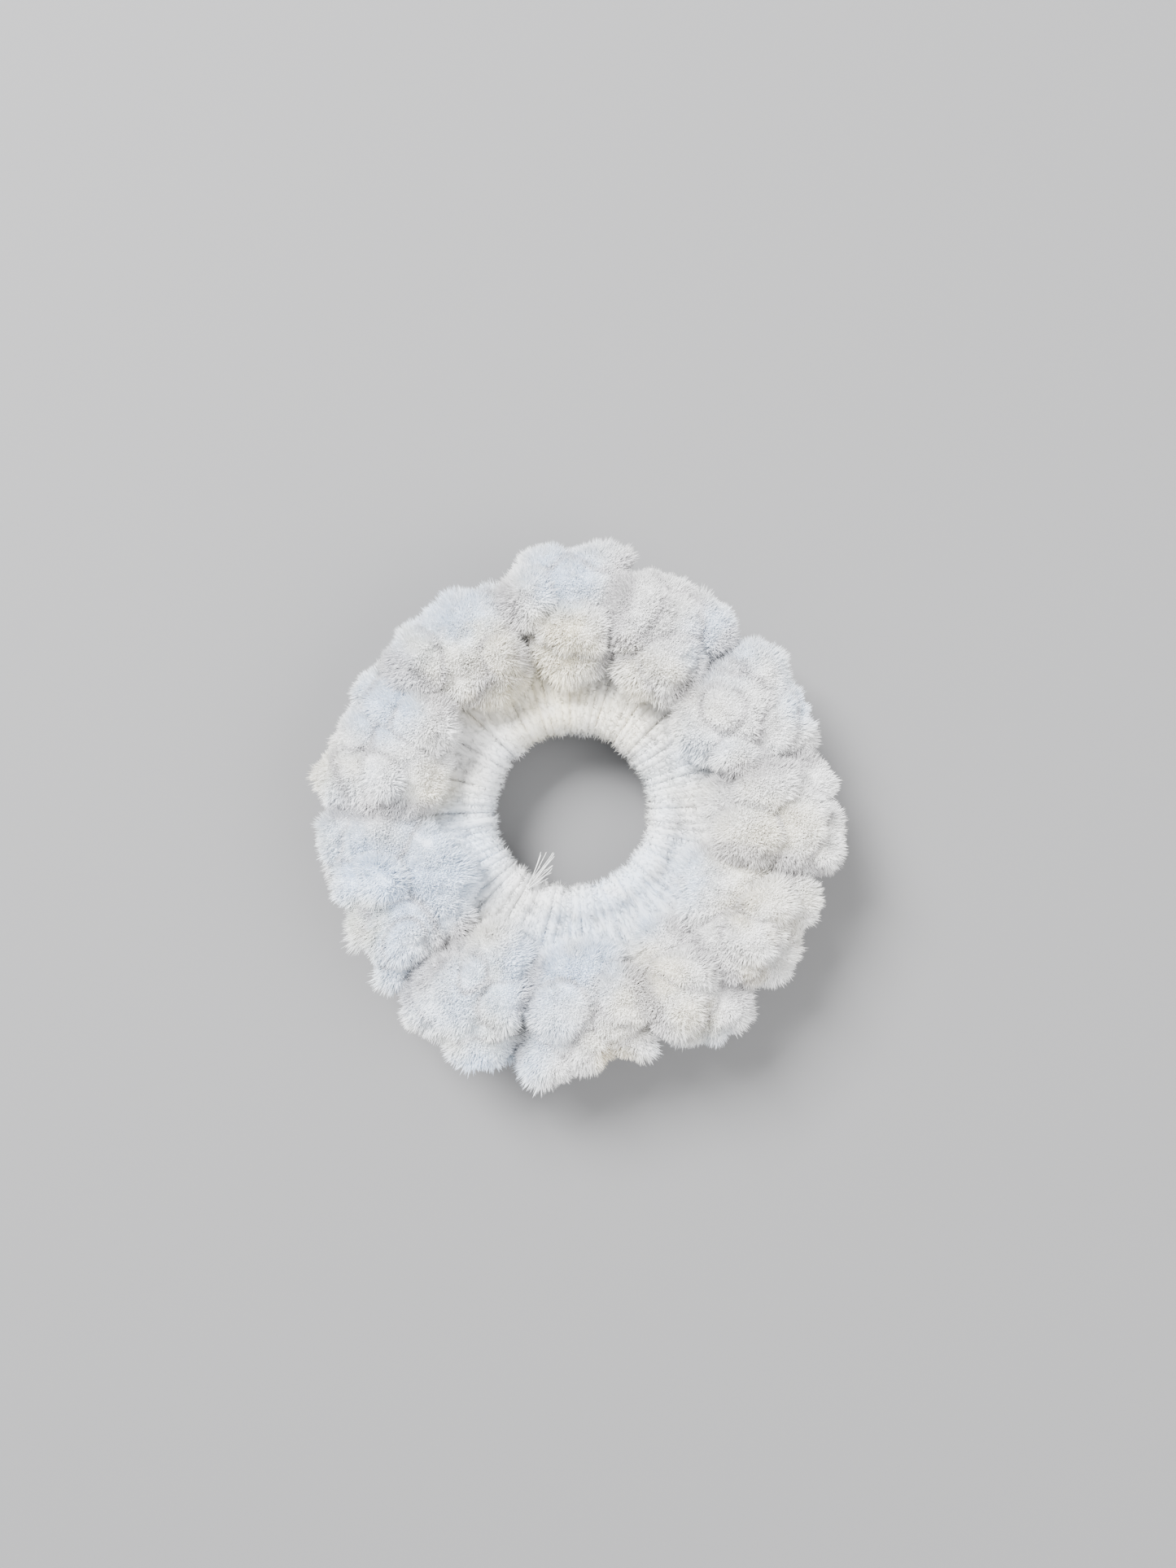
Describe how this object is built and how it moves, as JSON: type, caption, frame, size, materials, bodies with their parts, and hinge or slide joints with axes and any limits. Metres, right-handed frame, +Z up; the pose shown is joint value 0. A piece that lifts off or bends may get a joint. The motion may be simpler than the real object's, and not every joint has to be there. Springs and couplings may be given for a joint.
{
  "type": "crocheted scrunchie",
  "caption": "Round crocheted hair scrunchie in fluffy chenille yarn: soft ruffle folds round a stretchy elastic ring that holds gathered hair.",
  "frame": {"origin": "middle of the outline, on the surface the scrunchie lies on", "axes": "+Z up through the hole, along the gathered hair; +X and +Y across the ring, with the frayed yarn tail towards -X -Y"},
  "size_m": [0.1032, 0.105, 0.0254],
  "materials": {
    "elastic_01": "covered elastic cord",
    "elastic_02": "covered elastic cord",
    "elastic_03": "covered elastic cord",
    "elastic_04": "covered elastic cord",
    "elastic_05": "covered elastic cord",
    "elastic_06": "covered elastic cord",
    "elastic_07": "covered elastic cord",
    "elastic_08": "covered elastic cord",
    "elastic_09": "covered elastic cord",
    "elastic_10": "covered elastic cord",
    "elastic_11": "covered elastic cord",
    "elastic_join": "covered elastic cord, ends fused",
    "base_round_01": "ribbed chenille stitches",
    "base_round_02": "ribbed chenille stitches",
    "base_round_03": "ribbed chenille stitches",
    "base_round_04": "ribbed chenille stitches",
    "base_round_05": "ribbed chenille stitches",
    "base_round_06": "ribbed chenille stitches",
    "base_round_07": "ribbed chenille stitches",
    "base_round_08": "ribbed chenille stitches",
    "base_round_09": "ribbed chenille stitches",
    "base_round_10": "ribbed chenille stitches",
    "base_round_11": "ribbed chenille stitches",
    "base_round_closing": "ribbed chenille stitches",
    "lower_fold_01": "plush chenille",
    "lower_fold_02": "plush chenille",
    "lower_fold_03": "plush chenille",
    "lower_fold_04": "plush chenille",
    "lower_fold_05": "plush chenille",
    "lower_fold_06": "plush chenille",
    "lower_fold_07": "plush chenille",
    "lower_fold_08": "plush chenille",
    "lower_fold_09": "plush chenille",
    "lower_fold_10": "plush chenille",
    "lower_fold_11": "plush chenille",
    "upper_fold_01": "plush chenille",
    "upper_fold_02": "plush chenille",
    "upper_fold_03": "plush chenille",
    "upper_fold_04": "plush chenille",
    "upper_fold_05": "plush chenille",
    "upper_fold_06": "plush chenille",
    "upper_fold_07": "plush chenille",
    "upper_fold_08": "plush chenille",
    "upper_fold_09": "plush chenille",
    "upper_fold_10": "plush chenille",
    "upper_fold_11": "plush chenille",
    "yarn_tail": "bare shiny core thread"
  },
  "bodies": {
    "length_01": {"elastic_01": "elastic_01", "base_round_01": "base_round_01", "lower_fold_01": "lower_fold_01", "yarn_tail": "yarn_tail"},
    "length_02": {"elastic_02": "elastic_02", "base_round_02": "base_round_02", "lower_fold_02": "lower_fold_02"},
    "length_03": {"elastic_03": "elastic_03", "base_round_03": "base_round_03", "lower_fold_03": "lower_fold_03"},
    "length_04": {"elastic_04": "elastic_04", "base_round_04": "base_round_04", "lower_fold_04": "lower_fold_04"},
    "length_05": {"elastic_05": "elastic_05", "base_round_05": "base_round_05", "lower_fold_05": "lower_fold_05"},
    "length_06": {"elastic_06": "elastic_06", "base_round_06": "base_round_06", "lower_fold_06": "lower_fold_06"},
    "length_07": {"elastic_07": "elastic_07", "base_round_07": "base_round_07", "lower_fold_07": "lower_fold_07"},
    "length_08": {"elastic_08": "elastic_08", "base_round_08": "base_round_08", "lower_fold_08": "lower_fold_08"},
    "length_09": {"elastic_09": "elastic_09", "base_round_09": "base_round_09", "lower_fold_09": "lower_fold_09"},
    "length_10": {"elastic_10": "elastic_10", "base_round_10": "base_round_10", "lower_fold_10": "lower_fold_10"},
    "length_11": {"elastic_11": "elastic_11", "base_round_11": "base_round_11", "lower_fold_11": "lower_fold_11"},
    "closing_length": {"elastic_join": "elastic_join", "base_round_closing": "base_round_closing"},
    "fold_01": {"upper_fold_01": "upper_fold_01"},
    "fold_02": {"upper_fold_02": "upper_fold_02"},
    "fold_03": {"upper_fold_03": "upper_fold_03"},
    "fold_04": {"upper_fold_04": "upper_fold_04"},
    "fold_05": {"upper_fold_05": "upper_fold_05"},
    "fold_06": {"upper_fold_06": "upper_fold_06"},
    "fold_07": {"upper_fold_07": "upper_fold_07"},
    "fold_08": {"upper_fold_08": "upper_fold_08"},
    "fold_09": {"upper_fold_09": "upper_fold_09"},
    "fold_10": {"upper_fold_10": "upper_fold_10"},
    "fold_11": {"upper_fold_11": "upper_fold_11"}
  },
  "joints": [
    {"name": "ring_stretch", "type": "slide", "parent": "length_01", "child": "length_02", "axis": [0.9799, -0.1994, 0], "range_m": [0, 0.00992], "stiffness_N_per_m": 600},
    {"name": "ring_stretch_02", "type": "slide", "parent": "length_02", "child": "length_03", "axis": [0.9483, 0.3173, 0], "range_m": [0, 0.00871]},
    {"name": "ring_stretch_03", "type": "slide", "parent": "length_03", "child": "length_04", "axis": [0.6947, 0.7193, 0], "range_m": [0, 0.00841]},
    {"name": "ring_stretch_04", "type": "slide", "parent": "length_04", "child": "length_05", "axis": [0.2672, 0.9636, 0], "range_m": [0, 0.00932]},
    {"name": "ring_stretch_05", "type": "slide", "parent": "length_05", "child": "length_06", "axis": [-0.2546, 0.967, 0], "range_m": [0, 0.00947]},
    {"name": "ring_stretch_06", "type": "slide", "parent": "length_06", "child": "length_07", "axis": [-0.7193, 0.6947, 0], "range_m": [0, 0.00992]},
    {"name": "ring_stretch_07", "type": "slide", "parent": "length_07", "child": "length_08", "axis": [-0.9744, 0.225, 0], "range_m": [0, 0.00932]},
    {"name": "ring_stretch_08", "type": "slide", "parent": "length_08", "child": "length_09", "axis": [-0.9524, -0.3049, 0], "range_m": [0, 0.00977]},
    {"name": "ring_stretch_09", "type": "slide", "parent": "length_09", "child": "length_10", "axis": [-0.6191, -0.7853, 0], "range_m": [0, 0.01128]},
    {"name": "ring_stretch_10", "type": "slide", "parent": "length_10", "child": "length_11", "axis": [0.0349, -0.9994, 0], "range_m": [0, 0.01349]},
    {"name": "ring_stretch_11", "type": "slide", "parent": "length_11", "child": "closing_length", "axis": [0.6852, -0.7284, 0], "range_m": [0, 0.01187]},
    {"name": "fold_lift_01", "type": "hinge", "parent": "length_01", "child": "fold_01", "pos_m": [-0.01157, -0.01996, 0.0133], "axis": [-0.887, 0.4617, 0], "range_deg": [0, 50], "stiffness_Nm_per_rad": 0.0008},
    {"name": "fold_lift_02", "type": "hinge", "parent": "length_02", "child": "fold_02", "pos_m": [0.00075, -0.02247, 0.0133], "axis": [-0.9969, -0.0785, 0], "range_deg": [0, 50], "stiffness_Nm_per_rad": 0.0008},
    {"name": "fold_lift_03", "type": "hinge", "parent": "length_03", "child": "fold_03", "pos_m": [0.01121, -0.01897, 0.0133], "axis": [-0.8434, -0.5373, 0], "range_deg": [0, 50], "stiffness_Nm_per_rad": 0.0008},
    {"name": "fold_lift_04", "type": "hinge", "parent": "length_04", "child": "fold_04", "pos_m": [0.01861, -0.01131, 0.0133], "axis": [-0.5075, -0.8616, 0], "range_deg": [0, 50], "stiffness_Nm_per_rad": 0.0008},
    {"name": "fold_lift_05", "type": "hinge", "parent": "length_05", "child": "fold_05", "pos_m": [0.02176, 0.00006, 0.0133], "axis": [-0.0087, -1, 0], "range_deg": [0, 50], "stiffness_Nm_per_rad": 0.0008},
    {"name": "fold_lift_06", "type": "hinge", "parent": "length_06", "child": "fold_06", "pos_m": [0.01871, 0.01166, 0.0133], "axis": [0.5, -0.866, 0], "range_deg": [0, 50], "stiffness_Nm_per_rad": 0.0008},
    {"name": "fold_lift_07", "type": "hinge", "parent": "length_07", "child": "fold_07", "pos_m": [0.00966, 0.02039, 0.0133], "axis": [0.8829, -0.4695, 0], "range_deg": [0, 50], "stiffness_Nm_per_rad": 0.0008},
    {"name": "fold_lift_08", "type": "hinge", "parent": "length_08", "child": "fold_08", "pos_m": [-0.00184, 0.02305, 0.0133], "axis": [0.9994, 0.0349, 0], "range_deg": [0, 50], "stiffness_Nm_per_rad": 0.0008},
    {"name": "fold_lift_09", "type": "hinge", "parent": "length_09", "child": "fold_09", "pos_m": [-0.01362, 0.01927, 0.0133], "axis": [0.8339, 0.5519, 0], "range_deg": [0, 50], "stiffness_Nm_per_rad": 0.0008},
    {"name": "fold_lift_10", "type": "hinge", "parent": "length_10", "child": "fold_10", "pos_m": [-0.02246, 0.00806, 0.0133], "axis": [0.342, 0.9397, 0], "range_deg": [0, 50], "stiffness_Nm_per_rad": 0.0008},
    {"name": "fold_lift_11", "type": "hinge", "parent": "length_11", "child": "fold_11", "pos_m": [-0.02187, -0.00901, 0.0133], "axis": [-0.4067, 0.9135, 0], "range_deg": [0, 50], "stiffness_Nm_per_rad": 0.0008}
  ],
  "couplings": [
    {"joint": "ring_stretch_02", "follows": "ring_stretch", "ratio": 0.87768},
    {"joint": "ring_stretch_03", "follows": "ring_stretch", "ratio": 0.84693},
    {"joint": "ring_stretch_04", "follows": "ring_stretch", "ratio": 0.93898},
    {"joint": "ring_stretch_05", "follows": "ring_stretch", "ratio": 0.95427},
    {"joint": "ring_stretch_06", "follows": "ring_stretch", "ratio": 1},
    {"joint": "ring_stretch_07", "follows": "ring_stretch", "ratio": 0.93898},
    {"joint": "ring_stretch_08", "follows": "ring_stretch", "ratio": 0.98477},
    {"joint": "ring_stretch_09", "follows": "ring_stretch", "ratio": 1.1361},
    {"joint": "ring_stretch_10", "follows": "ring_stretch", "ratio": 1.3591},
    {"joint": "ring_stretch_11", "follows": "ring_stretch", "ratio": 1.1961}
  ]
}
